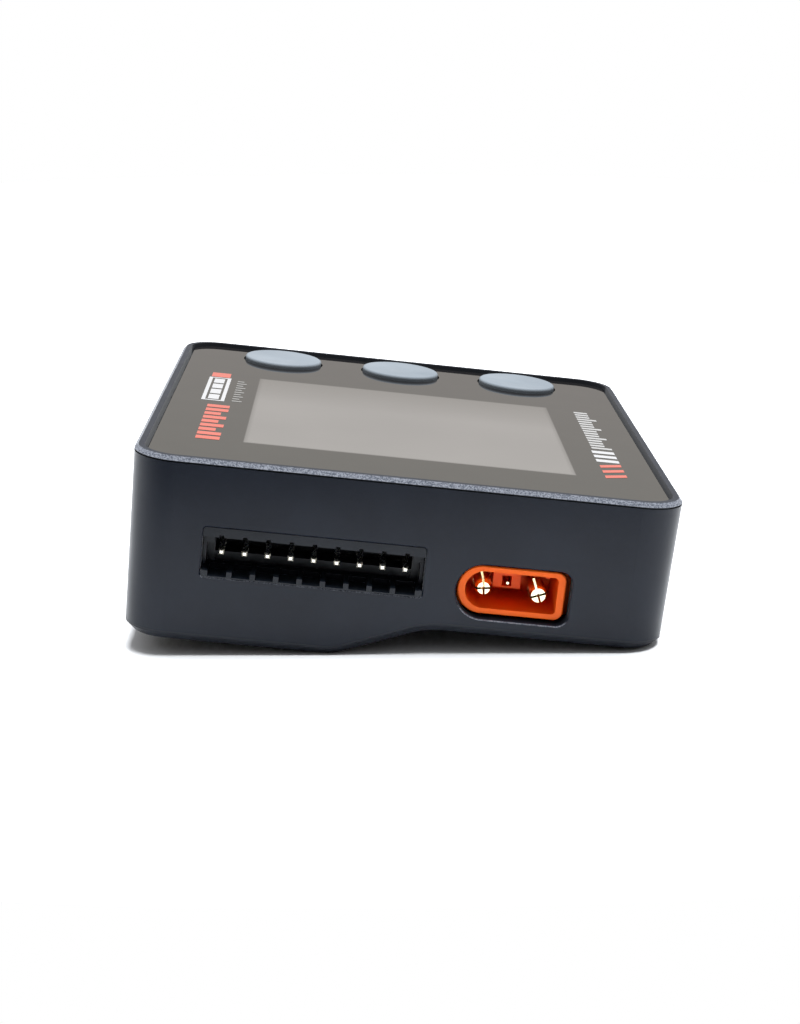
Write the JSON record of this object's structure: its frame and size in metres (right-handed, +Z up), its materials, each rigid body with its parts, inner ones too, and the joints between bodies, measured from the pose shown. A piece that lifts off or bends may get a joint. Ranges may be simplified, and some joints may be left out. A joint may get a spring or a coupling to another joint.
{
  "type": "balance battery charger",
  "caption": "Flat handheld balance charger with a glossy window over a screen, round push buttons, a balance header, a D-shaped battery socket and a stepped underside.",
  "frame": {"origin": "centre of the bounding box's bottom, which is the flat of the hump on the underside", "axes": "+Z up through the window, -Y out of the wall with the battery ports, +X to the right when facing that wall"},
  "size_m": [0.06, 0.07, 0.0207],
  "materials": {
    "case_plastic": "fine satin mould texture",
    "cover_plastic": "fine satin mould texture",
    "label": "plain satin film",
    "window": "polished, back-painted black round the screen",
    "tape": "foam",
    "button_plastic": "satin",
    "screw_steel": "blackened",
    "switch_plastic": "moulded",
    "spring_steel": "bright",
    "lcd_glass": "screen, switched off",
    "lcd_frame": "moulded",
    "ribbon_film": "polyimide film",
    "board": "solder mask",
    "chip_plastic": "moulded",
    "ceramic_parts": "fired",
    "connector_black": "moulded",
    "pin_gold": "gold plated",
    "pin_tin": "tin plated",
    "socket_orange": "satin moulded",
    "spreader": "plain",
    "usb_steel": "plain"
  },
  "bodies": {
    "case": {"balance_header": "connector_black", "balance_pins": "pin_tin", "balance_resistors": "ceramic_parts", "balance_transistors": "chip_plastic", "battery_contact_left": "pin_gold", "battery_contact_right": "pin_gold", "battery_socket": "socket_orange", "bottom_cover": "cover_plastic", "buzzer": "chip_plastic", "case_screws": "screw_steel", "charge_controller": "chip_plastic", "current_shunt": "pin_tin", "data_contact": "pin_gold", "display_board": "board", "display_board_screws": "screw_steel", "display_processor": "chip_plastic", "display_small_parts": "ceramic_parts", "filter_capacitors": "spreader", "heat_spreader": "spreader", "lcd_foam_pads": "tape", "lcd_frame": "lcd_frame", "lcd_gasket": "tape", "lcd_glass": "lcd_glass", "lcd_ribbon": "ribbon_film", "link_header": "connector_black", "link_pins": "pin_gold", "link_socket": "connector_black", "main_board": "board", "main_small_parts": "ceramic_parts", "power_inductor": "chip_plastic", "power_transistors": "chip_plastic", "rating_label": "label", "switch_bases": "switch_plastic", "switch_covers": "spring_steel", "switch_dome_left": "spring_steel", "switch_dome_middle": "spring_steel", "switch_dome_right": "spring_steel", "thermal_pad": "tape", "top_case": "case_plastic", "usb_contacts": "pin_gold", "usb_insert": "connector_black", "usb_shell": "usb_steel", "window_panel": "window", "window_tape": "tape"},
    "button_left": {"button_left": "button_plastic", "switch_plunger_left": "switch_plastic"},
    "button_middle": {"button_middle": "button_plastic", "switch_plunger_middle": "switch_plastic"},
    "button_right": {"button_right": "button_plastic", "switch_plunger_right": "switch_plastic"}
  },
  "joints": [
    {"name": "button_left_press", "type": "slide", "parent": "case", "child": "button_left", "axis": [0, 0, -1], "range_m": [0, 0.0004], "stiffness_N_per_m": 300, "springref_m": -0.0005},
    {"name": "button_middle_press", "type": "slide", "parent": "case", "child": "button_middle", "axis": [0, 0, -1], "range_m": [0, 0.0004], "stiffness_N_per_m": 300, "springref_m": -0.0005},
    {"name": "button_right_press", "type": "slide", "parent": "case", "child": "button_right", "axis": [0, 0, -1], "range_m": [0, 0.0004], "stiffness_N_per_m": 300, "springref_m": -0.0005}
  ]
}
